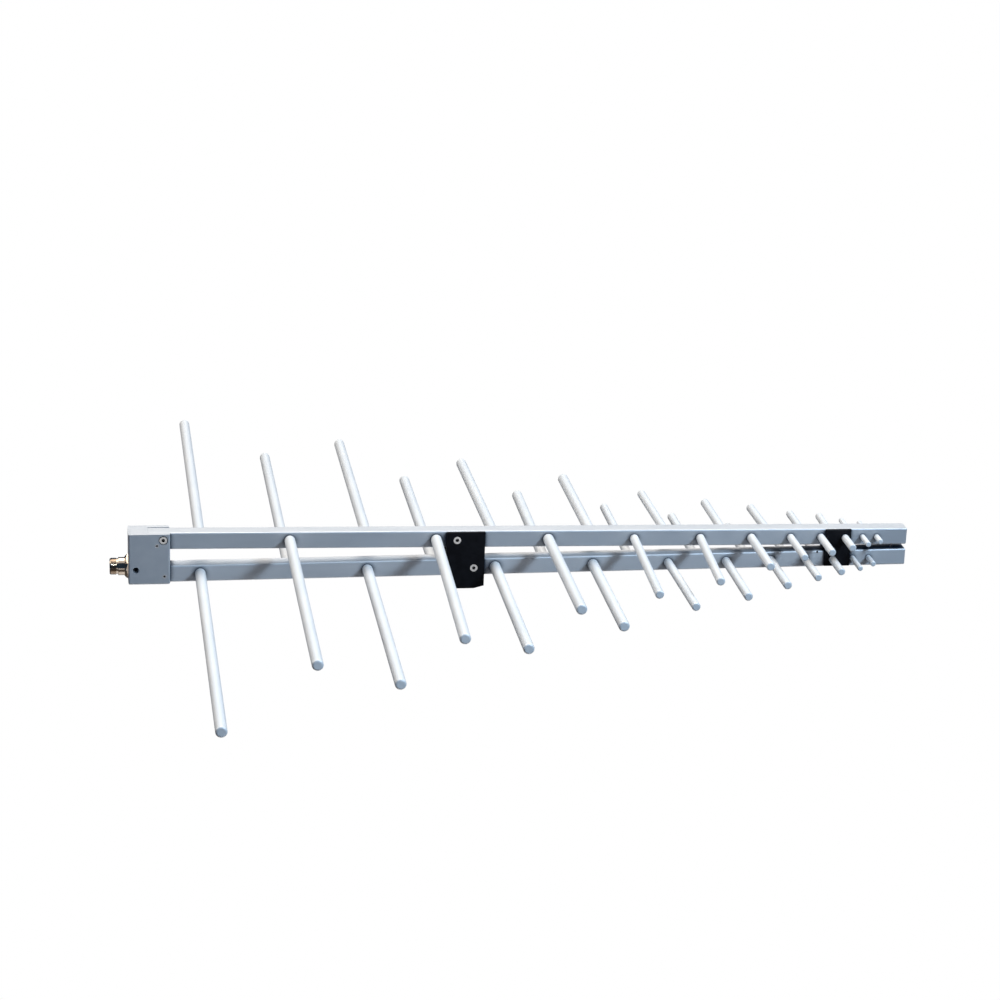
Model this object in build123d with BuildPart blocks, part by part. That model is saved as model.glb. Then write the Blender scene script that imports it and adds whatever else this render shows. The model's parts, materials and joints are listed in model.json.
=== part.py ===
from build123d import *
import os
from math import cos, radians, sin, tan

# Log-periodic dipole antenna: two square booms, one above the other, carry 22 dipoles whose
# half rods alternate between the booms. X runs to the tip, Y across, away from the side with
# the screws, and Z up. The origin is the mouth of the tripod thread, under the bracket.

# Booms
BOOM_SIDE = 16.0
BOOM_WALL = 2.5
BOOM_CORNER = 1.5
BOOM_BORE_CORNER = 0.5
BOOM_GAP = 11.4  # clear gap between the booms above the bracket's centre
BOOM_TILT = 0.4725  # degrees by which each boom leans towards the other
BOOM_OVERHANG = 29.6  # from the last element to the front ends
BOOM_EDGE = 0.6  # bevel round the front ends
HOLE_OVERRUN = 1.0  # by which a cutter passes a leaning wall

# Elements: distances to the apex shrink by one ratio, and the tips lie on two straight lines
ELEMENT_COUNT = 22
FIRST_TO_APEX = 686.7
SPACING_RATIO = 0.8805
TIP_RATIO = 0.543  # half length for each millimetre to the apex
TIP_SHORTENING = 2.0
# rods cut longer or shorter than the straight lines, by element
NEAR_TRIM = {
    1: 8.5, 2: -9.0, 3: 3.5, 4: 9.5, 5: -3.0, 8: 9.0, 9: -4.5, 10: 11.5, 11: 3.5, 14: -3.0, 19: 3.0
}
FAR_TRIM = {
    1: -16.0, 2: 10.5, 6: 3.5, 8: 4.5, 9: -9.5, 10: 6.5, 11: -7.0, 17: 6.0, 19: 4.5, 21: 5.0
}
# rods that lean towards the tip, or back from it, in degrees
NEAR_LEAN = {4: -1.4, 8: -2.0, 9: 1.1, 10: -2.9}
FAR_LEAN = {5: -0.7, 6: 0.7, 8: 0.6, 9: -0.9, 13: -1.0, 17: 1.5}
# four sizes of rod, thinner towards the tip
COUNT_BEFORE_SIZE = (0, 7, 13, 18)  # elements that come before each size
ROD_DIAMETERS = (10.0, 8.0, 7.0, 5.0)
STUD_DIAMETERS = (5.0, 5.0, 4.0, 3.0)
ROD_EDGE_RATIO = 0.2  # radius of the rod's outer edge, of its diameter
ROOT_BEVEL = 0.4
STUD_LENGTH = 3.5  # from the boom's face
THREAD_CLEARANCE = 0.05  # on the radius, for every screwed joint
PAIRED_COUNT = 5  # so many of the shortest dipoles have both halves in one node

# Mounting bracket, between two neighbouring elements' rods
COUNT_BEHIND_BRACKET = 4
BRACKET_REAR_CLEARANCE = 4.6  # from the rod behind it
BRACKET_FRONT_CLEARANCE = 5.4  # from the rod ahead of it
CHEEK = 3.2
NEAR_CHEEK_DROP = 0.5  # from the upper boom's top face to the cheek's top
FAR_CHEEK_DROP = 2.0
BASE = 12.0  # under the lower boom
BRACKET_CORNER = 0.6
FOOT_BEVEL_RUN = 9.5  # bevels at both ends of the bracket's foot: along the booms
FOOT_BEVEL_RISE = 2.5
BRACKET_SCREW_OFFSET = 8.1  # behind the centre on the upper boom, ahead of it on the lower
TRIPOD_THREAD = 9.525
INSERT_DIAMETER = 13.0
INSERT_LENGTH = 9.5

# Socket screws, all of one size: countersunk in the bracket, with a low head in the block
SCREW_SHANK = 4.0
SCREW_HEAD = 7.0
LOW_HEAD_HEIGHT = 2.8
COUNTERSINK_ANGLE = 90.0
SCREW_SOCKET = 3.0  # across the flats
SCREW_SOCKET_DEPTH = 1.6
SCREW_REACH = 1.0  # past the inside of the boom's wall

# Rear block: pockets for the booms, and behind them a chamber for the jack's cable
BLOCK_SETBACK = 27.7  # from the first element back to the block's front
BLOCK_LENGTH = 38.0
BLOCK_WIDTH = 26.5
BLOCK_HEIGHT = 48.5
BLOCK_RADIUS = 1.6
CHAMBER_LENGTH = 18.0
CHAMBER_DIAMETER = 10.5
CLAMP_SCREW = (6.2, 18.5)  # behind the block's front, above the middle
CLAMP_COUNTERBORE = 8.7
CLAMP_RECESS = 0.2  # from the block's face down to the screw's head
SET_SCREWS = ((11.9, 13.3), (5.2, -16.5))
SET_SCREW = 4.0
SET_SCREW_SOCKET = 2.0
SET_SCREW_SOCKET_DEPTH = 1.0
SET_SCREW_RECESS = 0.1

# Coaxial jack
JACK_DROP = 10.3  # from the middle between the booms down to the jack's axis
FLANGE_FLATS = 20.4
FLANGE_THICKNESS = 3.2
FLANGE_BEVEL = 3.0  # across, at the corners
FLANGE_BEVEL_ANGLE = 40.0
COLLAR_DIAMETER = 16.6
COLLAR_LENGTH = 5.8
RELIEF_DIAMETER = 14.2
RELIEF_LENGTH = 1.8
THREAD_DIAMETER = 15.875
THREAD_LENGTH = 6.0
THREAD_BEVEL = 1.2
SHELL_BORE = 8.1
SHANK_DIAMETER = 12.0
SHANK_LENGTH = 3.5
INSULATOR_DEPTH = 9.0  # from the mouth to the insulator's face
CONTACT_DIAMETER = 3.04
CONTACT_DEPTH = 5.2  # from the mouth to the contact's tip
CONTACT_BORE = 1.7
CONTACT_BORE_DEPTH = 5.0
CONTACT_SLOT = 0.4
CONTACT_SLOT_LENGTH = 3.5
CONTACT_SLOT_WIDTH = 4.0  # across the whole contact
SOLDER_CUP_DEPTH = 2.5
ACCESS_HOLE = 6.0
ACCESS_SETBACK = 6.9  # from the block's rear face

# Cable in the lower boom
CABLE_SHIELD = 3.6
CABLE_DIELECTRIC = 3.0
CABLE_CORE = 0.94
CABLE_FIT = 0.02  # on the radius, between the cable's layers
STRIP_STEP = 1.2  # each layer ends this far before the one inside it
CABLE_LEAD = 7.0  # from the contact's solder cup to the bend's corner
CABLE_BEND_SETBACK = 5.0  # bend's corner, behind the boom's rear end
CABLE_BEND_ANGLE = 30.0
CABLE_BEND_RADIUS = 12.0
FEED_SETBACK = 12.0  # crossing, behind the front ends
FEED_RADIUS = 2.0
FEED_BUSH = 2.8

# Front end plugs
PLUG_LENGTH = 5.0
PLUG_RECESS = 0.5
PLUG_FIT = 0.05

# Spacer plates, clamped under the rods of two neighbouring elements
COUNT_BEHIND_PLATE = 16
PLATE_REAR_CLEARANCE = 1.3  # from the rod behind it
PLATE_FRONT_CLEARANCE = 0.9  # from the rod ahead of it
PLATE_THICKNESS = 3.0
PLATE_BEVEL = 0.5
NEAR_PLATE_DROP = 0.2  # from the upper boom's outer face to the plate's top
FAR_PLATE_DROP = 1.8
PLATE_RISE = 1.2  # from the lower boom's outer face to the plate's bottom

# Locating hole in the lower boom, behind the near spacer plate
PIN_HOLE = 2.0
PIN_HOLE_DEPTH = 2.0
PIN_HOLE_DROP = 1.4  # from the boom's top face
PIN_HOLE_SETBACK = 2.4  # behind the nearest element

NEAR, FAR = -1, 1
LOWER, UPPER = -1, 1
FROM_TOP = (Align.CENTER, Align.CENTER, Align.MAX)


def to_apex(number):
    """Distance of a dipole from the apex, where the antenna's outlines would meet."""
    return FIRST_TO_APEX * SPACING_RATIO ** (number - 1)


def size_index(number):
    return sum(number > count for count in COUNT_BEFORE_SIZE) - 1


def rod_radius(number):
    return ROD_DIAMETERS[size_index(number)] / 2


def stud_radius(number):
    return STUD_DIAMETERS[size_index(number)] / 2


def room_ahead(number, elements, rear_clearance, front_clearance):
    """Length free between a dipole's rod and that of the dipole so many elements ahead."""
    rods = rod_radius(number) + rod_radius(number + elements)
    spacing = to_apex(number) - to_apex(number + elements)
    return spacing - rods - rear_clearance - front_clearance


BRACKET_LENGTH = room_ahead(
    COUNT_BEHIND_BRACKET, 1, BRACKET_REAR_CLEARANCE, BRACKET_FRONT_CLEARANCE
)
BRACKET_ROD_X = -BRACKET_LENGTH / 2 - BRACKET_REAR_CLEARANCE - rod_radius(COUNT_BEHIND_BRACKET)
APEX = BRACKET_ROD_X + to_apex(COUNT_BEHIND_BRACKET)


def element_x(number):
    return APEX - to_apex(number)


POCKET_DEPTH = BLOCK_LENGTH - CHAMBER_LENGTH
BLOCK_FRONT = element_x(1) - BLOCK_SETBACK
BLOCK_REAR = BLOCK_FRONT - BLOCK_LENGTH
BOOM_REAR = BLOCK_FRONT - POCKET_DEPTH
BOOM_FRONT = element_x(ELEMENT_COUNT) + BOOM_OVERHANG
BOOM_BORE = BOOM_SIDE - 2 * BOOM_WALL
AXIS_OFFSET = (BOOM_GAP + BOOM_SIDE) / 2
MIDDLE = BASE + BOOM_SIDE + BOOM_GAP / 2
JACK_Z = MIDDLE - JACK_DROP
FEED_X = BOOM_FRONT - FEED_SETBACK
PLATE_ELEMENTS = (COUNT_BEHIND_PLATE + 1, COUNT_BEHIND_PLATE + 2)


def save(part, name):
    """Label one finished piece and write it."""
    part.label = name
    export_step(part, f"parts/{name}.step")


def boom_z(x, boom):
    """Height of a boom's axis at x."""
    return MIDDLE + boom * (AXIS_OFFSET - x * tan(radians(BOOM_TILT)))


def boom_section(x, boom):
    """Plane across a boom at x; its local x is across, y up and z towards the tip."""
    lean = radians(BOOM_TILT)
    forward = (cos(lean), 0, -boom * sin(lean))
    return Plane(origin=(x, 0, boom_z(x, boom)), x_dir=(0, 1, 0), z_dir=forward)


def side_plane(x, y, z, side):
    """Plane that faces the near or far side, with its local y up."""
    return Plane(origin=(x, y, z), x_dir=(-side, 0, 0), z_dir=(0, side, 0))


def element_tip(number, side):
    """Distance of a rod's tip from the antenna's centre plane."""
    trim = (NEAR_TRIM if side == NEAR else FAR_TRIM).get(number, 0.0)
    return TIP_RATIO * to_apex(number) - TIP_SHORTENING + trim


def element_boom(number, side):
    """Odd dipoles have their near half on the lower boom, even ones on the upper."""
    return LOWER if (number % 2 == 1) == (side == NEAR) else UPPER


def rod_lean(number, side):
    """Degrees by which a half rod leans towards the tip."""
    return (NEAR_LEAN if side == NEAR else FAR_LEAN).get(number, 0.0)


def rod_plane(number, side, distance):
    """Plane across a half rod, that far out from the antenna's centre plane at a boom's face."""
    x = element_x(number)
    face = side_plane(x, side * BOOM_SIDE / 2, boom_z(x, element_boom(number, side)), side)
    return face.rotated((0, 0, -side * rod_lean(number, side))).offset(distance - BOOM_SIDE / 2)


def element_halves(boom):
    """Number and side of every half rod on one boom."""
    for number in range(1, ELEMENT_COUNT + 1):
        for side in (NEAR, FAR):
            if element_boom(number, side) == boom:
                yield number, side


def boom_holes(boom, screw_x):
    """Drill one wall of a boom for each stud, and both side walls for the bracket's screws."""
    for number, side in element_halves(boom):
        with Locations(rod_plane(number, side, BOOM_SIDE / 2 + HOLE_OVERRUN)):
            Hole(stud_radius(number) + THREAD_CLEARANCE, depth=BOOM_WALL + 2 * HOLE_OVERRUN)
    for side in (NEAR, FAR):
        with Locations(side_plane(screw_x, side * BOOM_SIDE / 2, boom_z(screw_x, boom), side)):
            Hole(SCREW_SHANK / 2 + THREAD_CLEARANCE, depth=BOOM_WALL)


def boom_tube(boom):
    """Square tube from the rear block to the tip, open at both ends."""
    start = boom_section(BOOM_REAR, boom)
    length = (BOOM_FRONT - BOOM_REAR) / cos(radians(BOOM_TILT))
    with BuildPart() as tube:
        with BuildSketch(start):
            RectangleRounded(BOOM_SIDE, BOOM_SIDE, BOOM_CORNER)
        extrude(amount=length)
        front_rim = tube.faces().sort_by(Axis.X)[-1].outer_wire().edges()
        chamfer(front_rim, BOOM_EDGE)
        with BuildSketch(start):
            RectangleRounded(BOOM_BORE, BOOM_BORE, BOOM_BORE_CORNER)
        extrude(amount=length, mode=Mode.SUBTRACT)
    return tube.part


# Upper boom: holes for the studs, the bracket's and clamp screws, and the feed wire
clamp_x = BLOCK_FRONT - CLAMP_SCREW[0]
clamp_z = MIDDLE + CLAMP_SCREW[1]
feed_wall = boom_z(FEED_X, UPPER) - BOOM_BORE / 2
with BuildPart() as upper_boom:
    add(boom_tube(UPPER))
    boom_holes(UPPER, -BRACKET_SCREW_OFFSET)
    with Locations(side_plane(clamp_x, NEAR * BOOM_SIDE / 2, clamp_z, NEAR)):
        Hole(SCREW_SHANK / 2 + THREAD_CLEARANCE, depth=BOOM_WALL)
    with Locations((FEED_X, 0, feed_wall)):
        Hole(CABLE_CORE / 2 + CABLE_FIT, depth=BOOM_WALL + HOLE_OVERRUN)
save(upper_boom.part, "upper_boom")

# Lower boom: holes for the studs, the bracket's screws and the feed wire's bush, and for a pin
pin_x = element_x(COUNT_BEHIND_PLATE) - PIN_HOLE_SETBACK
pin_z = boom_z(pin_x, LOWER) + BOOM_SIDE / 2 - PIN_HOLE_DROP
with BuildPart() as lower_boom:
    add(boom_tube(LOWER))
    boom_holes(LOWER, BRACKET_SCREW_OFFSET)
    with Locations((FEED_X, 0, boom_z(FEED_X, LOWER) + BOOM_SIDE / 2 + HOLE_OVERRUN)):
        Hole(FEED_BUSH / 2, depth=BOOM_WALL + 2 * HOLE_OVERRUN)
    with Locations(side_plane(pin_x, NEAR * BOOM_SIDE / 2, pin_z, NEAR)):
        Hole(PIN_HOLE / 2, depth=PIN_HOLE_DEPTH)
save(lower_boom.part, "lower_boom")

# End plugs, pressed into the tubes' front ends
for boom, name in ((UPPER, "upper_end_plug"), (LOWER, "lower_end_plug")):
    with BuildPart() as plug:
        with BuildSketch(boom_section(BOOM_FRONT - PLUG_RECESS, boom)):
            plug_side = BOOM_BORE - 2 * PLUG_FIT
            RectangleRounded(plug_side, plug_side, BOOM_BORE_CORNER)
        extrude(amount=-PLUG_LENGTH)
    save(plug.part, name)


def half_rod(number, side):
    """Rod with a rounded outer edge and a stud at its root, seated on a boom or a spacer plate."""
    radius = rod_radius(number)
    plate = PLATE_THICKNESS if number in PLATE_ELEMENTS else 0.0
    # a rod that leans stands on the lower side of its rim
    rim_lift = radius * tan(radians(abs(rod_lean(number, side))))
    seat = BOOM_SIDE / 2 + plate + rim_lift
    root = rod_plane(number, side, seat)
    with BuildPart() as rod:
        with BuildSketch(root):
            Circle(radius)
        extrude(amount=element_tip(number, side) - seat)
        ends = rod.edges().filter_by(GeomType.CIRCLE).sort_by(Axis.Y)
        tip, seat_edge = (ends[-1], ends[0]) if side == FAR else (ends[0], ends[-1])
        fillet(tip, 2 * radius * ROD_EDGE_RATIO)
        chamfer(seat_edge, ROOT_BEVEL)
        with BuildSketch(root):
            Circle(stud_radius(number))
        extrude(amount=-(plate + rim_lift + STUD_LENGTH))
    return rod.part


# Dipoles: each half is a piece of its own, and the shortest share a node with their partners
for number in range(1, ELEMENT_COUNT + 1):
    if number <= ELEMENT_COUNT - PAIRED_COUNT:
        save(half_rod(number, NEAR), f"element_{number:02d}_near")
        save(half_rod(number, FAR), f"element_{number:02d}_far")
    else:
        halves = Compound(children=[half_rod(number, NEAR), half_rod(number, FAR)])
        save(halves, f"element_{number:02d}_pair")

# Spacer plates: one on each side, with a hole for the stud of each rod that clamps it
plate_length = room_ahead(COUNT_BEHIND_PLATE, 3, PLATE_REAR_CLEARANCE, PLATE_FRONT_CLEARANCE)
plate_rear = element_x(COUNT_BEHIND_PLATE) + rod_radius(COUNT_BEHIND_PLATE) + PLATE_REAR_CLEARANCE
plate_x = plate_rear + plate_length / 2
plate_bottom = boom_z(plate_x, LOWER) - BOOM_SIDE / 2 + PLATE_RISE
for side, drop, name in (
    (NEAR, NEAR_PLATE_DROP, "front_spacer_near"),
    (FAR, FAR_PLATE_DROP, "front_spacer_far"),
):
    plate_top = boom_z(plate_x, UPPER) + BOOM_SIDE / 2 - drop
    with BuildPart() as plate:
        face = side_plane(plate_x, side * BOOM_SIDE / 2, (plate_top + plate_bottom) / 2, side)
        with BuildSketch(face):
            Rectangle(plate_length, plate_top - plate_bottom)
        extrude(amount=PLATE_THICKNESS)
        outer_face = plate.faces().sort_by(Axis.Y)[-1 if side == FAR else 0]
        chamfer(outer_face.edges(), PLATE_BEVEL)
        for number in PLATE_ELEMENTS:
            outside = BOOM_SIDE / 2 + PLATE_THICKNESS + HOLE_OVERRUN
            with Locations(rod_plane(number, side, outside)):
                clear_radius = stud_radius(number) + THREAD_CLEARANCE
                Hole(clear_radius, depth=PLATE_THICKNESS + 2 * HOLE_OVERRUN)
    save(plate.part, name)


def bracket_screw_places():
    """x, z and side of the bracket's screws."""
    for side in (NEAR, FAR):
        for boom, x in ((UPPER, -BRACKET_SCREW_OFFSET), (LOWER, BRACKET_SCREW_OFFSET)):
            yield x, boom_z(x, boom), side


# Mounting bracket: a base with two cheeks; the lower boom rests in the slot between them
cheek_face = BOOM_SIDE / 2 + CHEEK
slot_height = boom_z(0, UPPER) + BOOM_SIDE / 2
end_x = BRACKET_LENGTH / 2
foot_x = end_x - FOOT_BEVEL_RUN
with BuildPart() as mounting_bracket:
    for side, drop in ((NEAR, NEAR_CHEEK_DROP), (FAR, FAR_CHEEK_DROP)):
        cheek_top = boom_z(0, UPPER) + BOOM_SIDE / 2 - drop
        outline = [
            (-end_x, cheek_top),
            (-end_x, FOOT_BEVEL_RISE),
            (-foot_x, 0),
            (foot_x, 0),
            (end_x, FOOT_BEVEL_RISE),
            (end_x, cheek_top),
        ]
        with BuildSketch(side_plane(0, 0, 0, side)):
            with BuildLine():
                Polyline(*outline, close=True)
            make_face()
            fillet(vertices().group_by(Axis.Y)[-1], BRACKET_CORNER)
        extrude(amount=cheek_face)
    # the slot's floor leans with the lower boom
    with BuildSketch(boom_section(-BRACKET_LENGTH, LOWER)):
        with Locations((0, (slot_height - BOOM_SIDE) / 2)):
            Rectangle(BOOM_SIDE, slot_height)
    extrude(amount=2 * BRACKET_LENGTH, mode=Mode.SUBTRACT)
    for x, z, side in bracket_screw_places():
        with Locations(side_plane(x, side * cheek_face, z, side)):
            CounterSinkHole(
                SCREW_SHANK / 2 + THREAD_CLEARANCE,
                SCREW_HEAD / 2,
                depth=CHEEK,
                counter_sink_angle=COUNTERSINK_ANGLE,
            )
    with Locations(Location((0, 0, 0), (180, 0, 0))):
        Hole(INSERT_DIAMETER / 2, depth=INSERT_LENGTH)
save(mounting_bracket.part, "mounting_bracket")

# Threaded insert for the tripod screw
with BuildPart() as tripod_insert:
    with BuildSketch(Plane.XY):
        Circle(INSERT_DIAMETER / 2)
        Circle(TRIPOD_THREAD / 2, mode=Mode.SUBTRACT)
    extrude(amount=INSERT_LENGTH)
save(tripod_insert.part, "tripod_insert")


def socket_screw(top, length, countersunk):
    """Socket screw that reaches in from its top plane, with a countersunk or a low head."""
    with BuildPart(top) as screw:
        if countersunk:
            cone_height = (SCREW_HEAD - SCREW_SHANK) / 2 / tan(radians(COUNTERSINK_ANGLE / 2))
            Cone(SCREW_SHANK / 2, SCREW_HEAD / 2, cone_height, align=FROM_TOP)
        else:
            Cylinder(SCREW_HEAD / 2, LOW_HEAD_HEIGHT, align=FROM_TOP)
        Cylinder(SCREW_SHANK / 2, length, align=FROM_TOP)
        with BuildSketch(top):
            RegularPolygon(SCREW_SOCKET / 2, 6, major_radius=False)
        extrude(amount=-SCREW_SOCKET_DEPTH, mode=Mode.SUBTRACT)
    return screw.part


# Bracket screws: two in each cheek, one into each boom's wall
bracket_screws = Compound(
    children=[
        socket_screw(
            side_plane(x, side * cheek_face, z, side), CHEEK + BOOM_WALL + SCREW_REACH, True
        )
        for x, z, side in bracket_screw_places()
    ]
)
save(bracket_screws, "bracket_screws")

# Rear block: a pocket for each boom, open above or below, a chamber behind the jack, and the
# hole that gives access to its solder joint
block_face = NEAR * BLOCK_WIDTH / 2
side_wall = (BLOCK_WIDTH - BOOM_SIDE) / 2
block_middle = (BLOCK_REAR + BLOCK_FRONT) / 2
with BuildPart() as rear_block:
    with BuildSketch(Plane.XZ.offset(-BLOCK_WIDTH / 2)):
        with Locations((block_middle, MIDDLE)):
            Rectangle(BLOCK_LENGTH, BLOCK_HEIGHT)
    extrude(amount=BLOCK_WIDTH)
    upright = rear_block.edges().filter_by(Axis.Z)
    underside = rear_block.faces().sort_by(Axis.Z)[0].edges()
    fillet(upright + underside, BLOCK_RADIUS)
    for boom in (UPPER, LOWER):
        with BuildSketch(boom_section(BOOM_REAR, boom)):
            with Locations((0, boom * BOOM_SIDE / 2)):
                Rectangle(BOOM_SIDE, 2 * BOOM_SIDE)
        extrude(amount=2 * POCKET_DEPTH, mode=Mode.SUBTRACT)
    jack_seat = Plane(origin=(BLOCK_REAR, 0, JACK_Z), x_dir=(0, 1, 0), z_dir=(-1, 0, 0))
    with Locations(jack_seat):
        Hole(SHANK_DIAMETER / 2, depth=SHANK_LENGTH)
        Hole(CHAMBER_DIAMETER / 2, depth=BOOM_REAR - BLOCK_REAR)
    with Locations(side_plane(BLOCK_REAR + ACCESS_SETBACK, block_face, JACK_Z, NEAR)):
        Hole(ACCESS_HOLE / 2, depth=BLOCK_WIDTH / 2)
    with Locations(side_plane(clamp_x, block_face, clamp_z, NEAR)):
        CounterBoreHole(
            SCREW_SHANK / 2 + THREAD_CLEARANCE,
            CLAMP_COUNTERBORE / 2,
            LOW_HEAD_HEIGHT + CLAMP_RECESS,
            depth=side_wall,
        )
    for setback, rise in SET_SCREWS:
        with Locations(side_plane(BLOCK_FRONT - setback, block_face, MIDDLE + rise, NEAR)):
            Hole(SET_SCREW / 2 + THREAD_CLEARANCE, depth=side_wall)
save(rear_block.part, "rear_block")

# Clamp screw: holds the upper boom in its pocket
clamp_top = side_plane(clamp_x, block_face - NEAR * CLAMP_RECESS, clamp_z, NEAR)
clamp_length = side_wall - CLAMP_RECESS + BOOM_WALL + SCREW_REACH
save(socket_screw(clamp_top, clamp_length, False), "clamp_screw")


def set_screw(setback, rise):
    """Headless screw with a socket, whose end bears on a boom."""
    x = BLOCK_FRONT - setback
    top = side_plane(x, block_face - NEAR * SET_SCREW_RECESS, MIDDLE + rise, NEAR)
    with BuildPart() as screw:
        with BuildSketch(top):
            Circle(SET_SCREW / 2)
        extrude(amount=-(side_wall - SET_SCREW_RECESS))
        with BuildSketch(top):
            RegularPolygon(SET_SCREW_SOCKET / 2, 6, major_radius=False)
        extrude(amount=-SET_SCREW_SOCKET_DEPTH, mode=Mode.SUBTRACT)
    return screw.part


set_screws = Compound(children=[set_screw(setback, rise) for setback, rise in SET_SCREWS])
save(set_screws, "set_screws")

# Jack: lengths run along its axis from the block's rear face, outwards
jack_length = FLANGE_THICKNESS + COLLAR_LENGTH + RELIEF_LENGTH + THREAD_LENGTH
jack_plane = Plane(origin=(BLOCK_REAR, 0, JACK_Z), x_dir=(-1, 0, 0), z_dir=(0, 1, 0))
jack_axis = Axis((BLOCK_REAR, 0, JACK_Z), (1, 0, 0))


def turned(outline):
    """Solid of revolution about the jack's axis; outline holds (distance out, radius)."""
    with BuildPart() as piece:
        with BuildSketch(jack_plane):
            with BuildLine():
                Polyline(*outline, close=True)
            make_face()
        revolve(axis=jack_axis)
    return piece.part


relief_start = FLANGE_THICKNESS + COLLAR_LENGTH
thread_start = relief_start + RELIEF_LENGTH
insulator_face = jack_length - INSULATOR_DEPTH
with BuildPart() as jack_shell:
    add(
        turned(
            [
                (-SHANK_LENGTH, SHELL_BORE / 2),
                (-SHANK_LENGTH, SHANK_DIAMETER / 2),
                (0, SHANK_DIAMETER / 2),
                (0, COLLAR_DIAMETER / 2),
                (relief_start, COLLAR_DIAMETER / 2),
                (relief_start, RELIEF_DIAMETER / 2),
                (thread_start, RELIEF_DIAMETER / 2),
                (thread_start, THREAD_DIAMETER / 2),
                (jack_length - THREAD_BEVEL, THREAD_DIAMETER / 2),
                (jack_length, THREAD_DIAMETER / 2 - THREAD_BEVEL),
                (jack_length, SHELL_BORE / 2),
            ]
        )
    )
    # hexagonal flange with a turned bevel, one corner up
    with BuildSketch(jack_seat):
        RegularPolygon(FLANGE_FLATS / 2, 6, major_radius=False, rotation=30)
        Circle(COLLAR_DIAMETER / 2, mode=Mode.SUBTRACT)
    extrude(amount=FLANGE_THICKNESS)
    corner_radius = FLANGE_FLATS / 2 / cos(radians(30))
    bevel_height = FLANGE_BEVEL * tan(radians(FLANGE_BEVEL_ANGLE))
    bevel_cutter = turned(
        [
            (FLANGE_THICKNESS - bevel_height, corner_radius),
            (FLANGE_THICKNESS, corner_radius - FLANGE_BEVEL),
            (FLANGE_THICKNESS, corner_radius),
        ]
    )
    add(bevel_cutter, mode=Mode.SUBTRACT)
save(jack_shell.part, "jack_shell")

insulator_outline = [
    (-SHANK_LENGTH, CONTACT_DIAMETER / 2),
    (-SHANK_LENGTH, SHELL_BORE / 2),
    (insulator_face, SHELL_BORE / 2),
    (insulator_face, CONTACT_DIAMETER / 2),
]
save(turned(insulator_outline), "jack_insulator")

# Centre contact: slotted socket at the mouth, solder cup in the chamber
contact_tip = jack_length - CONTACT_DEPTH
bend_x = BOOM_REAR - CABLE_BEND_SETBACK
cup_x = bend_x - CABLE_LEAD
cup_end = BLOCK_REAR - cup_x
with BuildPart() as jack_contact:
    add(
        turned(
            [
                (cup_end, CABLE_CORE / 2 + THREAD_CLEARANCE),
                (cup_end, CONTACT_DIAMETER / 2),
                (contact_tip, CONTACT_DIAMETER / 2),
                (contact_tip, CONTACT_BORE / 2),
                (contact_tip - CONTACT_BORE_DEPTH, CONTACT_BORE / 2),
                (contact_tip - CONTACT_BORE_DEPTH, 0),
                (cup_end + SOLDER_CUP_DEPTH, 0),
                (cup_end + SOLDER_CUP_DEPTH, CABLE_CORE / 2 + THREAD_CLEARANCE),
            ]
        )
    )
    with BuildSketch(jack_seat.offset(contact_tip)):
        Rectangle(CONTACT_SLOT_WIDTH, CONTACT_SLOT)
        Rectangle(CONTACT_SLOT, CONTACT_SLOT_WIDTH)
    extrude(amount=-CONTACT_SLOT_LENGTH, mode=Mode.SUBTRACT)
save(jack_contact.part, "jack_contact")

# Cable: out of the solder cup, down to the lower boom's axis, along it, and up at the feed
cable_fall = tan(radians(CABLE_BEND_ANGLE))
boom_rise = tan(radians(BOOM_TILT))
level_x = (JACK_Z + bend_x * cable_fall - boom_z(0, LOWER)) / (cable_fall + boom_rise)
bend_corners = [(bend_x, 0, JACK_Z), (level_x, 0, boom_z(level_x, LOWER))]


def cable_tube(start_x, route_end, radii, outside, inside=0.0):
    """Tube round the cable's route, from start_x on the jack's axis to route_end."""
    route = [(start_x, 0, JACK_Z), *bend_corners, *route_end]
    with BuildPart() as tube:
        with BuildLine() as line:
            FilletPolyline(*route, radius=radii)
        with BuildSketch(Plane(origin=route[0], z_dir=(1, 0, 0))):
            Circle(outside / 2)
            if inside:
                Circle(inside / 2, mode=Mode.SUBTRACT)
        sweep(path=line.wire())
    return tube.part


def strip_back(layers):
    """End of a layer on the boom's axis, that many steps behind the feed's bend."""
    x = FEED_X - FEED_RADIUS - layers * STRIP_STEP
    return (x, 0, boom_z(x, LOWER))


bends = [CABLE_BEND_RADIUS, CABLE_BEND_RADIUS]
shield_start = cup_x + 2 * STRIP_STEP
dielectric_start = cup_x + STRIP_STEP
core_start = cup_x - SOLDER_CUP_DEPTH
cable_shield = cable_tube(
    shield_start, [strip_back(2)], bends, CABLE_SHIELD, CABLE_DIELECTRIC + 2 * CABLE_FIT
)
save(cable_shield, "cable_shield")
cable_dielectric = cable_tube(
    dielectric_start, [strip_back(1)], bends, CABLE_DIELECTRIC, CABLE_CORE + 2 * CABLE_FIT
)
save(cable_dielectric, "cable_dielectric")
feed_route = [(FEED_X, 0, boom_z(FEED_X, LOWER)), (FEED_X, 0, feed_wall)]
cable_core = cable_tube(core_start, feed_route, [*bends, FEED_RADIUS], CABLE_CORE)
save(cable_core, "cable_core")

# Bush that keeps the feed wire clear of the lower boom's wall
bush_top = boom_z(FEED_X, LOWER) + BOOM_SIDE / 2
with BuildPart() as feed_bush:
    with BuildSketch(Plane.XY.offset(bush_top - BOOM_WALL)):
        with Locations((FEED_X, 0)):
            Circle(FEED_BUSH / 2)
            Circle(CABLE_CORE / 2 + CABLE_FIT, mode=Mode.SUBTRACT)
    extrude(amount=BOOM_WALL)
save(feed_bush.part, "feed_bush")
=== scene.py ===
import json
from math import cos, floor, pi, radians, sin, tan

import bmesh
import bpy
from mathutils import Matrix, Vector


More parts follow.
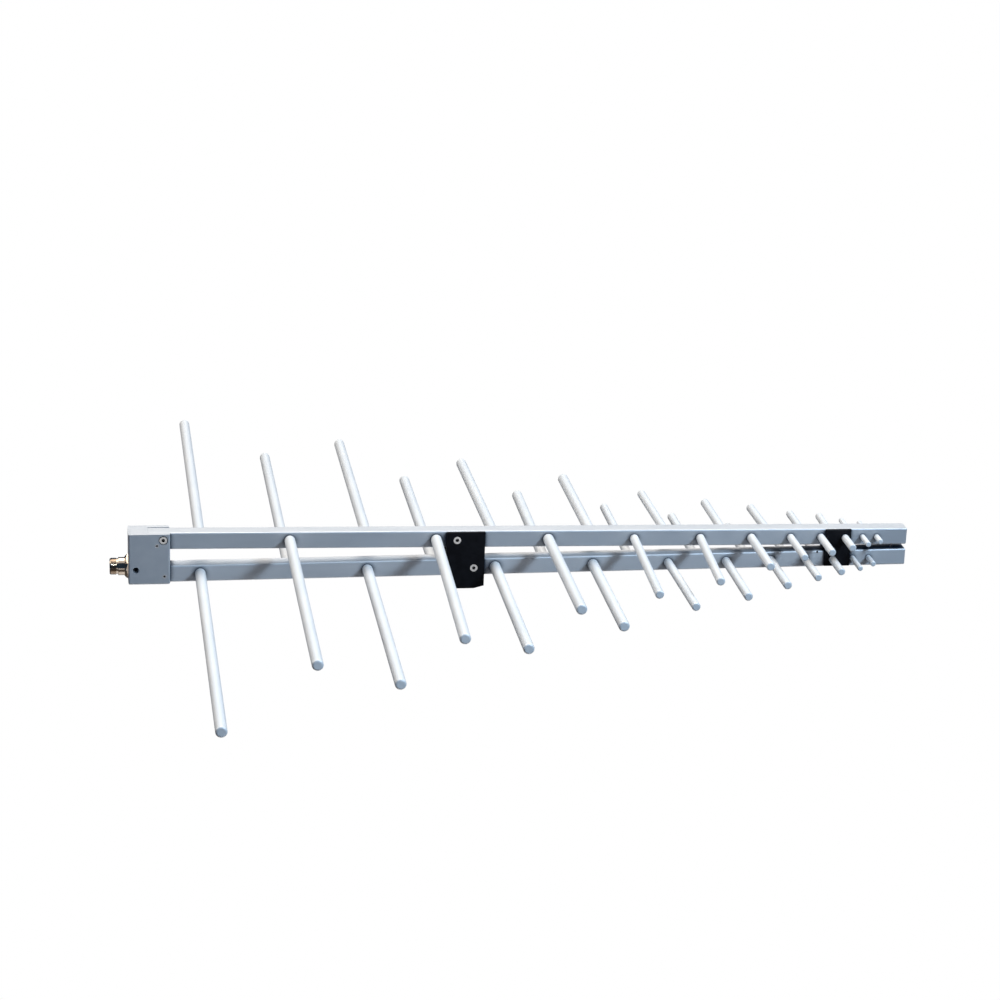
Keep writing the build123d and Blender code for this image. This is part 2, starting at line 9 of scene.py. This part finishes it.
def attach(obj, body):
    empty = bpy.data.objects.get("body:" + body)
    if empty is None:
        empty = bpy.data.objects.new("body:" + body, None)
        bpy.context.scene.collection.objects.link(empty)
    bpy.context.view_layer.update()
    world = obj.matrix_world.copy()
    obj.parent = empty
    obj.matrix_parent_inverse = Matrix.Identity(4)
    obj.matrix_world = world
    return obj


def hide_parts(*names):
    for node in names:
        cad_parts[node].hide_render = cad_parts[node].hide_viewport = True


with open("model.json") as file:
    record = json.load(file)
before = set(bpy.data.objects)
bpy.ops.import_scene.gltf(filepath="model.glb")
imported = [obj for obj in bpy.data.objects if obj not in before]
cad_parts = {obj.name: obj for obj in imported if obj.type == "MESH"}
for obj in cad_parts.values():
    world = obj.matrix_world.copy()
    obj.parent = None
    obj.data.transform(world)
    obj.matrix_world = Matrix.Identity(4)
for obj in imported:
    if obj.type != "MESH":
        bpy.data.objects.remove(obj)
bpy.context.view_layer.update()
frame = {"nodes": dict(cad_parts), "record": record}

# Log-periodic antenna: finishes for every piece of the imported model, the two fine threads that
# the solids leave plain, and a bright studio seen from a little above the booms.

MM = 0.001


# Camera: looks at a point beside the bracket, with a slight roll
VIEW_TARGET = Vector((0.0322, 0.0, 0.0828))
VIEW_DISTANCE = 2.6973
VIEW_AZIMUTH = radians(8.875)  # from +Y towards +X
VIEW_ELEVATION = radians(18.553)
VIEW_ROLL = radians(2.117)
SENSOR_WIDTH = 36.0
IMAGE_WIDTH = 1000
FOCAL_PIXELS = 2901.2
FARTHEST_SEEN = 50.0


def add_camera():
    forward = Vector(
        (
            cos(VIEW_ELEVATION) * sin(VIEW_AZIMUTH),
            cos(VIEW_ELEVATION) * cos(VIEW_AZIMUTH),
            -sin(VIEW_ELEVATION),
        )
    )
    level_right = forward.cross(Vector((0, 0, 1))).normalized()
    level_up = level_right.cross(forward)
    right = level_right * cos(VIEW_ROLL) + level_up * sin(VIEW_ROLL)
    up = right.cross(forward)
    data = bpy.data.cameras.new("camera")
    data.sensor_width = SENSOR_WIDTH
    data.lens = FOCAL_PIXELS * SENSOR_WIDTH / IMAGE_WIDTH
    data.clip_end = FARTHEST_SEEN
    camera = bpy.data.objects.new("camera", data)
    axes = Matrix((right, up, -forward)).transposed().to_4x4()
    camera.matrix_world = Matrix.Translation(VIEW_TARGET - forward * VIEW_DISTANCE) @ axes
    bpy.context.scene.collection.objects.link(camera)
    bpy.context.scene.camera = camera


add_camera()


# Studio
FLOOR_DEPTH = 2.0  # below the bracket, as on a tripod
FLOOR_RADIUS = 1.2
FLOOR_SIDES = 64
FLOOR_COLOUR = (0.62, 0.62, 0.62)
FLOOR_LIFT = 0.5  # light of its own, which keeps the floor white to the camera and in metal
BACKDROP = (1.0, 1.0, 1.0)
ROOM = (0.02, 0.04, 0.075)  # what metal sees in front of the object, away from the backdrop
FLOOR_BEYOND = (0.13, 0.115, 0.10)  # the floor past its rim, as metal sees it
# where each part of the room starts and is full, as heights or depths of a direction of length 1
BEHIND = (0.0, 0.3)
OVERHEAD = (0.8, 1.0)
BACKDROP_FOOT = (0.4, 0.8)
FLOOR_RIM = (-0.6, -0.3)
KEY_DIRECTION = Vector((0.55, -0.58, 0.60))
KEY_DISTANCE = 3.0
KEY_SIZE = 0.5
KEY_POWER = 66.0
KEY_COLOUR = (0.61, 0.80, 1.0)
TOP_DIRECTION = Vector((0.0, 0.42, 0.9))
TOP_DISTANCE = 4.0
TOP_SIZE = 2.8
TOP_POWER = 102.0
TOP_COLOUR = (1.0, 0.93, 0.83)
SIDE_DIRECTION = Vector((-0.8, 0.25, 0.55))
SIDE_DISTANCE = 4.0
SIDE_SIZE = 2.4
SIDE_POWER = 45.0
CARD_DIRECTION = Vector((0.033, -0.946, -0.322))
CARD_DISTANCE = 3.0
CARD_WIDTH = 1.1
CARD_HEIGHT = 0.7
CARD_POWER = 2.1


def link(tree, source, target):
    tree.links.new(source, target)


def map_range(tree, value, low, high, to_low=0.0, to_high=1.0):
    node = tree.nodes.new("ShaderNodeMapRange")
    node.interpolation_type = "SMOOTHSTEP"
    node.inputs["From Min"].default_value = low
    node.inputs["From Max"].default_value = high
    node.inputs["To Min"].default_value = to_low
    node.inputs["To Max"].default_value = to_high
    link(tree, value, node.inputs["Value"])
    return node.outputs["Result"]


def mix_colour(tree, factor, first, second):
    node = tree.nodes.new("ShaderNodeMix")
    node.data_type = "RGBA"
    link(tree, factor, node.inputs["Factor"])
    for socket, colour in ((node.inputs["A"], first), (node.inputs["B"], second)):
        if isinstance(colour, tuple):
            socket.default_value = (*colour, 1.0)
        else:
            link(tree, colour, socket)
    return node.outputs["Result"]


def either(tree, first, second):
    """1 where either of two factors is 1."""
    node = tree.nodes.new("ShaderNodeMath")
    node.operation = "MAXIMUM"
    link(tree, first, node.inputs[0])
    link(tree, second, node.inputs[1])
    return node.outputs["Value"]


def add_world():
    """White to the camera, and white behind and above in reflections and as light."""
    world = bpy.data.worlds.new("studio")
    bpy.context.scene.world = world
    world.use_nodes = True
    tree = world.node_tree
    tree.nodes.clear()
    direction = tree.nodes.new("ShaderNodeTexCoord").outputs["Generated"]
    split = tree.nodes.new("ShaderNodeSeparateXYZ")
    link(tree, direction, split.inputs["Vector"])
    behind = map_range(tree, split.outputs["Y"], *BEHIND)
    above = map_range(tree, split.outputs["Z"], *OVERHEAD)
    raised = map_range(tree, split.outputs["Z"], *BACKDROP_FOOT)
    lit = tree.nodes.new("ShaderNodeMath")
    lit.operation = "MULTIPLY"
    link(tree, either(tree, behind, above), lit.inputs[0])
    link(tree, raised, lit.inputs[1])
    low = map_range(tree, split.outputs["Z"], *FLOOR_RIM, 1.0, 0.0)
    front = mix_colour(tree, low, ROOM, FLOOR_BEYOND)
    surround = tree.nodes.new("ShaderNodeBackground")
    link(tree, mix_colour(tree, lit.outputs["Value"], front, BACKDROP), surround.inputs["Color"])
    backdrop = tree.nodes.new("ShaderNodeBackground")
    backdrop.inputs["Color"].default_value = (*BACKDROP, 1.0)
    rays = tree.nodes.new("ShaderNodeLightPath")
    reflected = tree.nodes.new("ShaderNodeMath")
    reflected.operation = "MULTIPLY"
    link(tree, rays.outputs["Is Glossy Ray"], reflected.inputs[0])
    link(tree, lit.outputs["Value"], reflected.inputs[1])
    seen = either(tree, rays.outputs["Is Camera Ray"], rays.outputs["Is Transmission Ray"])
    seen = either(tree, seen, reflected.outputs["Value"])
    mix = tree.nodes.new("ShaderNodeMixShader")
    link(tree, seen, mix.inputs["Fac"])
    link(tree, surround.outputs["Background"], mix.inputs[1])
    link(tree, backdrop.outputs["Background"], mix.inputs[2])
    output = tree.nodes.new("ShaderNodeOutputWorld")
    link(tree, mix.outputs["Shader"], output.inputs["Surface"])


def add_floor():
    """Pale round floor; a little light of its own keeps it white to the camera."""
    mesh = bpy.data.meshes.new("floor")
    turns = [2 * pi * side / FLOOR_SIDES for side in range(FLOOR_SIDES)]
    rim = [(FLOOR_RADIUS * cos(turn), FLOOR_RADIUS * sin(turn), 0.0) for turn in turns]
    mesh.from_pydata(rim, [], [tuple(range(FLOOR_SIDES))])
    floor_object = bpy.data.objects.new("floor", mesh)
    floor_object.location.z = -FLOOR_DEPTH
    bpy.context.scene.collection.objects.link(floor_object)
    material = bpy.data.materials.new("floor")
    material.use_nodes = True
    tree = material.node_tree
    tree.nodes.clear()
    diffuse = tree.nodes.new("ShaderNodeBsdfDiffuse")
    diffuse.inputs["Color"].default_value = (*FLOOR_COLOUR, 1.0)
    glow = tree.nodes.new("ShaderNodeEmission")
    rays = tree.nodes.new("ShaderNodeLightPath")
    lift = tree.nodes.new("ShaderNodeMath")
    lift.operation = "MULTIPLY"
    lift.inputs[1].default_value = FLOOR_LIFT
    seen = either(tree, rays.outputs["Is Camera Ray"], rays.outputs["Is Glossy Ray"])
    seen = either(tree, seen, rays.outputs["Is Transmission Ray"])
    link(tree, seen, lift.inputs[0])
    link(tree, lift.outputs["Value"], glow.inputs["Strength"])
    both = tree.nodes.new("ShaderNodeAddShader")
    link(tree, diffuse.outputs["BSDF"], both.inputs[0])
    link(tree, glow.outputs["Emission"], both.inputs[1])
    output = tree.nodes.new("ShaderNodeOutputMaterial")
    link(tree, both.outputs["Shader"], output.inputs["Surface"])
    mesh.materials.append(material)


def add_lamp(name, direction, distance, size, power, colour=(1.0, 1.0, 1.0)):
    data = bpy.data.lights.new(name, "AREA")
    data.shape = "SQUARE"
    data.size = size
    data.energy = power
    data.color = colour
    lamp = bpy.data.objects.new(name, data)
    lamp.location = direction.normalized() * distance
    lamp.rotation_euler = direction.to_track_quat("Z", "Y").to_euler()
    bpy.context.scene.collection.objects.link(lamp)
    return lamp


add_world()
add_floor()
add_lamp("key", KEY_DIRECTION, KEY_DISTANCE, KEY_SIZE, KEY_POWER, KEY_COLOUR)
add_lamp("top", TOP_DIRECTION, TOP_DISTANCE, TOP_SIZE, TOP_POWER, TOP_COLOUR)
add_lamp("side", SIDE_DIRECTION, SIDE_DISTANCE, SIDE_SIZE, SIDE_POWER, TOP_COLOUR)
# a card that only shows in polished metal
card = add_lamp("card", CARD_DIRECTION, CARD_DISTANCE, CARD_WIDTH, CARD_POWER)
card.data.shape = "RECTANGLE"
card.data.size_y = CARD_HEIGHT
card.visible_diffuse = False


# Finishes: each is a Principled shader whose colour, roughness and height follow fine noise
NOISE_SPREAD = (0.3, 0.7)  # the part of the noise's range that its values fill


def new_material(name, metallic, roughness):
    material = bpy.data.materials.new(name)
    material.use_nodes = True
    shader = material.node_tree.nodes["Principled BSDF"]
    shader.inputs["Metallic"].default_value = metallic
    shader.inputs["Roughness"].default_value = roughness
    return material, shader


def noise(tree, feature, stretch=(1.0, 1.0, 1.0), detail=3.0):
    """Noise whose features are about that many metres across, longer along a stretched axis."""
    where = tree.nodes.new("ShaderNodeTexCoord").outputs["Object"]
    mapping = tree.nodes.new("ShaderNodeMapping")
    mapping.inputs["Scale"].default_value = [1.0 / (feature * s) for s in stretch]
    link(tree, where, mapping.inputs["Vector"])
    node = tree.nodes.new("ShaderNodeTexNoise")
    node.inputs["Scale"].default_value = 1.0
    node.inputs["Detail"].default_value = detail
    link(tree, mapping.outputs["Vector"], node.inputs["Vector"])
    return node.outputs["Fac"]


def vary_colour(material, shader, factor, dark, light):
    tree = material.node_tree
    spread = map_range(tree, factor, *NOISE_SPREAD)
    link(tree, mix_colour(tree, spread, dark, light), shader.inputs["Base Color"])


def vary_roughness(material, shader, factor, low, high):
    tree = material.node_tree
    spread = map_range(tree, factor, *NOISE_SPREAD, low, high)
    link(tree, spread, shader.inputs["Roughness"])


def add_bumps(material, shader, *layers):
    """Chain of bumps; each layer is (height field, height in metres)."""
    tree = material.node_tree
    normal = None
    for height, distance in layers:
        bump = tree.nodes.new("ShaderNodeBump")
        bump.inputs["Strength"].default_value = 1.0
        bump.inputs["Distance"].default_value = distance
        link(tree, height, bump.inputs["Height"])
        if normal is not None:
            link(tree, normal, bump.inputs["Normal"])
        normal = bump.outputs["Normal"]
    link(tree, normal, shader.inputs["Normal"])


# painted shade: the boom colour turns dark blue-black in narrow gaps and around the rods' roots,
# where shade falls
GAP_REACH = 8 * MM
GAP_PAINTED_SHADE = (0.025, 0.035, 0.06)
GAP_SPREAD = (0.5, 0.95)  # openness at which the painted shade is full and gone


def openness(tree, reach):
    """1 on open faces, less in sockets and gaps as wide as that reach."""
    node = tree.nodes.new("ShaderNodeAmbientOcclusion")
    node.inputs["Distance"].default_value = reach
    return node.outputs["AO"]


def extruded_aluminium(name, dark, light):
    """Natural anodised tube: die lines along the boom over a fine etched grain, with painted shade
    in narrow gaps and around the rods' roots.
    """
    material, shader = new_material(name, 0.5, 0.5)
    tree = material.node_tree
    lines = noise(tree, 0.35 * MM, (120.0, 1.0, 1.0))
    grain = noise(tree, 0.12 * MM)
    clouds = noise(tree, 25 * MM, (3.0, 1.0, 1.0))
    skin = mix_colour(tree, map_range(tree, clouds, *NOISE_SPREAD), dark, light)
    # painted shade: the colour darkens where the occlusion finds the face closed in
    open_air = map_range(tree, openness(tree, GAP_REACH), *GAP_SPREAD)
    link(tree, mix_colour(tree, open_air, GAP_PAINTED_SHADE, skin), shader.inputs["Base Color"])
    vary_roughness(material, shader, lines, 0.44, 0.56)
    add_bumps(material, shader, (lines, 0.006 * MM), (grain, 0.003 * MM))
    return material


def rod_aluminium():
    """Drawn rod, etched and anodised: faint lines along the rod."""
    material, shader = new_material("rod_aluminium", 0.1, 0.45)
    tree = material.node_tree
    lines = noise(tree, 0.5 * MM, (1.0, 80.0, 1.0))
    grain = noise(tree, 0.3 * MM)
    clouds = noise(tree, 18 * MM, (1.0, 3.0, 1.0))
    vary_colour(material, shader, clouds, (0.80, 0.825, 0.85), (0.85, 0.865, 0.88))
    vary_roughness(material, shader, lines, 0.36, 0.46)
    add_bumps(material, shader, (lines, 0.0015 * MM), (grain, 0.0006 * MM))
    return material


def blasted_aluminium():
    """Milled block, bead blasted: an even, finely pitted skin."""
    material, shader = new_material("block_aluminium", 0.5, 0.55)
    tree = material.node_tree
    pits = noise(tree, 0.3 * MM, detail=4.0)
    clouds = noise(tree, 14 * MM)
    vary_colour(material, shader, clouds, (0.61, 0.635, 0.67), (0.66, 0.68, 0.71))
    vary_roughness(material, shader, pits, 0.44, 0.56)
    add_bumps(material, shader, (pits, 0.012 * MM))
    return material


def black_acetal():
    """Milled black plastic: matt, with faint cutter marks."""
    material, shader = new_material("black_plastic", 0.0, 0.5)
    tree = material.node_tree
    marks = noise(tree, 0.5 * MM, (1.0, 1.0, 12.0))
    grain = noise(tree, 0.15 * MM, detail=4.0)
    clouds = noise(tree, 8 * MM)
    shader.inputs["Specular IOR Level"].default_value = 0.15
    vary_colour(material, shader, clouds, (0.003, 0.003, 0.0045), (0.007, 0.007, 0.0095))
    vary_roughness(material, shader, grain, 0.45, 0.62)
    add_bumps(material, shader, (marks, 0.008 * MM), (grain, 0.006 * MM))
    return material


# painted shade: sockets and other recesses in the steel are coloured dark, where shade falls
SOCKET_REACH = 3.5 * MM
SOCKET_PAINTED_SHADE = (0.02, 0.02, 0.022)
SOCKET_SPREAD = (0.45, 0.9)


def turned_steel(name, dark, light):
    """Turned steel of the screws and the tripod insert, with painted shade in the sockets."""
    material, shader = new_material(name, 1.0, 0.3)
    tree = material.node_tree
    marks = noise(tree, 0.15 * MM, (1.0, 10.0, 1.0))
    clouds = noise(tree, 2 * MM)
    steel = mix_colour(tree, map_range(tree, clouds, *NOISE_SPREAD), dark, light)
    # painted shade: the colour darkens where the occlusion finds the face closed in
    open_air = map_range(tree, openness(tree, SOCKET_REACH), *SOCKET_SPREAD)
    link(tree, mix_colour(tree, open_air, SOCKET_PAINTED_SHADE, steel), shader.inputs["Base Color"])
    vary_roughness(material, shader, marks, 0.22, 0.34)
    add_bumps(material, shader, (marks, 0.004 * MM))
    return material


def plated(name, dark, light, low, high):
    """Plated turned metal, with fine rings across the jack's axis."""
    material, shader = new_material(name, 1.0, low)
    tree = material.node_tree
    rings = noise(tree, 0.12 * MM, (1.0, 40.0, 40.0))
    clouds = noise(tree, 3 * MM)
    vary_colour(material, shader, clouds, dark, light)
    vary_roughness(material, shader, rings, low, high)
    add_bumps(material, shader, (rings, 0.002 * MM))
    return material


def fluoropolymer():
    """White turned insulator, slightly waxy."""
    material, shader = new_material("insulator", 0.0, 0.4)
    tree = material.node_tree
    rings = noise(tree, 0.15 * MM, (1.0, 20.0, 20.0))
    clouds = noise(tree, 2 * MM)
    shader.inputs["Subsurface Weight"].default_value = 0.15
    shader.inputs["Subsurface Scale"].default_value = 1.0 * MM
    vary_colour(material, shader, clouds, (0.84, 0.84, 0.81), (0.9, 0.9, 0.87))
    vary_roughness(material, shader, rings, 0.34, 0.46)
    add_bumps(material, shader, (rings, 0.002 * MM))
    return material


FINISHES = {
    "boom_aluminium": extruded_aluminium("upper_boom", (0.60, 0.625, 0.66), (0.65, 0.67, 0.70)),
    "rod_aluminium": rod_aluminium(),
    "block_aluminium": blasted_aluminium(),
    "black_plastic": black_acetal(),
    "stainless_screw": turned_steel("stainless_screw", (0.76, 0.75, 0.73), (0.84, 0.83, 0.81)),
    "nickel": plated("nickel", (0.46, 0.37, 0.29), (0.58, 0.48, 0.39), 0.12, 0.2),
    "insulator": fluoropolymer(),
    "gold_contact": plated("gold_contact", (0.8, 0.57, 0.2), (0.88, 0.67, 0.3), 0.18, 0.28),
    "copper": plated("copper", (0.68, 0.39, 0.26), (0.78, 0.48, 0.33), 0.25, 0.38),
}

# Turned pieces with their real threads. A piece is a closed band of rings: each ring is a list of
# (distance along the axis, radius) pairs in millimetres, one for each angle.
COLUMNS = 96
ROWS_IN_TURN = 14
THREAD_FLAT = 0.125  # width of each flat, of the wave's height
SMOOTH_ANGLE = radians(32)


def angles():
    return [2 * pi * column / COLUMNS for column in range(COLUMNS)]


def ring(along, radius):
    return [(along, radius)] * COLUMNS


def groove(along, angle, pitch):
    """0 on the thread's crest and 1 at its root, with narrow flats on both."""
    turn = along / pitch + angle / (2 * pi)
    wave = abs(2 * (turn - floor(turn)) - 1)
    return min(max((1 + 2 * THREAD_FLAT) * wave - THREAD_FLAT, 0.0), 1.0)


def turned_piece(name, rings, place):
    """Object from the rings; place turns (along, radius, angle) into a point in millimetres."""
    mesh = bpy.data.meshes.new(name)
    points = [
        place(along, radius, angle) * MM
        for band in rings
        for (along, radius), angle in zip(band, angles())
    ]
    faces = []
    for row in range(len(rings)):
        below, above = row * COLUMNS, (row + 1) % len(rings) * COLUMNS
        for column in range(COLUMNS):
            beside = (column + 1) % COLUMNS
            faces.append((below + column, below + beside, above + beside, above + column))
    mesh.from_pydata(points, [], faces)
    shape = bmesh.new()
    shape.from_mesh(mesh)
    bmesh.ops.recalc_face_normals(shape, faces=shape.faces)
    shape.to_mesh(mesh)
    shape.free()
    mesh.shade_smooth()
    mesh.set_sharp_from_angle(angle=SMOOTH_ANGLE)
    piece = bpy.data.objects.new(name, mesh)
    bpy.context.scene.collection.objects.link(piece)
    return piece


# Jack shell, outwards from the block's rear face
JACK_FACE = -311.24
JACK_HEIGHT = 23.4
SHANK_LENGTH = 3.5
SHANK_RADIUS = 6.0
FLANGE_LENGTH = 3.2
FLANGE_FLATS = 20.4
FLANGE_BEVEL = 3.0
FLANGE_BEVEL_ANGLE = radians(40)
FLANGE_ROWS = 6
COLLAR_END = 9.0
COLLAR_RADIUS = 8.3
COLLAR_EDGE = 0.25
RELIEF_END = 10.8
RELIEF_RADIUS = 7.1
JACK_END = 16.8
JACK_THREAD_RADIUS = 7.9375
JACK_PITCH = 25.4 / 24
JACK_THREAD_DEPTH = 0.6
JACK_THREAD_BEVEL = 1.2
JACK_BORE_RADIUS = 4.05
JACK_MOUTH_EDGE = 0.3


def flange_ring(along):
    corner = FLANGE_FLATS / 2 / cos(pi / 6)
    bevel_height = FLANGE_BEVEL * tan(FLANGE_BEVEL_ANGLE)
    into_bevel = max(along - (FLANGE_LENGTH - bevel_height), 0.0) / bevel_height
    cone = corner - FLANGE_BEVEL * into_bevel
    band = []
    for angle in angles():
        from_flat = (angle - pi / 2) % (pi / 3) - pi / 6
        band.append((along, min(FLANGE_FLATS / 2 / cos(from_flat), cone)))
    return band


def jack_thread_ring(along):
    envelope = JACK_THREAD_RADIUS - max(along - (JACK_END - JACK_THREAD_BEVEL), 0.0)
    band = []
    for angle in angles():
        cut = JACK_THREAD_RADIUS - JACK_THREAD_DEPTH * groove(along, angle, JACK_PITCH)
        band.append((along, min(envelope, cut)))
    return band


def jack_shell():
    bevel_start = FLANGE_LENGTH - FLANGE_BEVEL * tan(FLANGE_BEVEL_ANGLE)
    rings = [
        ring(-SHANK_LENGTH, JACK_BORE_RADIUS),
        ring(-SHANK_LENGTH, SHANK_RADIUS),
        ring(0.0, SHANK_RADIUS),
        flange_ring(0.0),
    ]
    for step in range(FLANGE_ROWS + 1):
        rings.append(flange_ring(bevel_start + (FLANGE_LENGTH - bevel_start) * step / FLANGE_ROWS))
    rings += [
        ring(FLANGE_LENGTH, COLLAR_RADIUS),
        ring(COLLAR_END - COLLAR_EDGE, COLLAR_RADIUS),
        ring(COLLAR_END, COLLAR_RADIUS - COLLAR_EDGE),
        ring(COLLAR_END, RELIEF_RADIUS),
        ring(RELIEF_END, RELIEF_RADIUS),
    ]
    length = JACK_END - RELIEF_END
    rows = round(length / JACK_PITCH * ROWS_IN_TURN)
    rings += [jack_thread_ring(RELIEF_END + length * row / rows) for row in range(rows + 1)]
    rings += [
        ring(JACK_END, JACK_BORE_RADIUS + JACK_MOUTH_EDGE),
        ring(JACK_END - JACK_MOUTH_EDGE, JACK_BORE_RADIUS),
    ]

    def place(along, radius, angle):
        return Vector((JACK_FACE - along, radius * cos(angle), JACK_HEIGHT + radius * sin(angle)))

    return turned_piece("threaded_jack_shell", rings, place)


# Tripod insert, upwards from the bracket's bottom face
INSERT_LENGTH = 9.5
INSERT_RADIUS = 6.5
INSERT_EDGE = 0.2
INSERT_THREAD_RADIUS = 4.7625
INSERT_PITCH = 25.4 / 16
INSERT_THREAD_DEPTH = 0.85
INSERT_THREAD_BEVEL = 0.9


def insert_thread_ring(along):
    from_end = min(along, INSERT_LENGTH - along)
    envelope = INSERT_THREAD_RADIUS - from_end * INSERT_THREAD_DEPTH / INSERT_THREAD_BEVEL
    band = []
    for angle in angles():
        ridge = 1.0 - groove(along, angle, INSERT_PITCH)
        cut = INSERT_THREAD_RADIUS - INSERT_THREAD_DEPTH * ridge
        band.append((along, max(envelope, cut)))
    return band


def tripod_insert():
    rings = [
        ring(0.0, INSERT_RADIUS - INSERT_EDGE),
        ring(INSERT_EDGE, INSERT_RADIUS),
        ring(INSERT_LENGTH, INSERT_RADIUS),
    ]
    rows = round(INSERT_LENGTH / INSERT_PITCH * ROWS_IN_TURN)
    rings += [insert_thread_ring(INSERT_LENGTH * (1 - row / rows)) for row in range(rows + 1)]

    def place(along, radius, angle):
        return Vector((radius * cos(angle), radius * sin(angle), along))

    return turned_piece("threaded_tripod_insert", rings, place)


# the lower tube is painted a shade lighter than the upper one, as painted light for the brighter
# light on it, and the set screws are duller
lower_tube_painted_light = extruded_aluminium("lower_boom", (0.71, 0.73, 0.76), (0.76, 0.775, 0.80))
OWN_FINISHES = {
    "lower_boom": lower_tube_painted_light,
    "lower_end_plug": lower_tube_painted_light,
    "set_screws": turned_steel("set_screws", (0.50, 0.53, 0.57), (0.58, 0.61, 0.65)),
}

for piece, node_name, slot_name in (
    (jack_shell(), "jack_shell", "nickel"),
    (tripod_insert(), "tripod_insert", "stainless_screw"),
):
    piece.data.materials.append(FINISHES[slot_name])
    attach(piece, "root")
    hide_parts(node_name)

for row in frame["record"]["subparts"]:
    node = frame["nodes"][row["node"]]
    finish = OWN_FINISHES.get(row["node"], FINISHES[row["material_slot"]])
    for material_slot in node.material_slots:
        material_slot.material = finish


bpy.context.scene.view_settings.view_transform = "Standard"
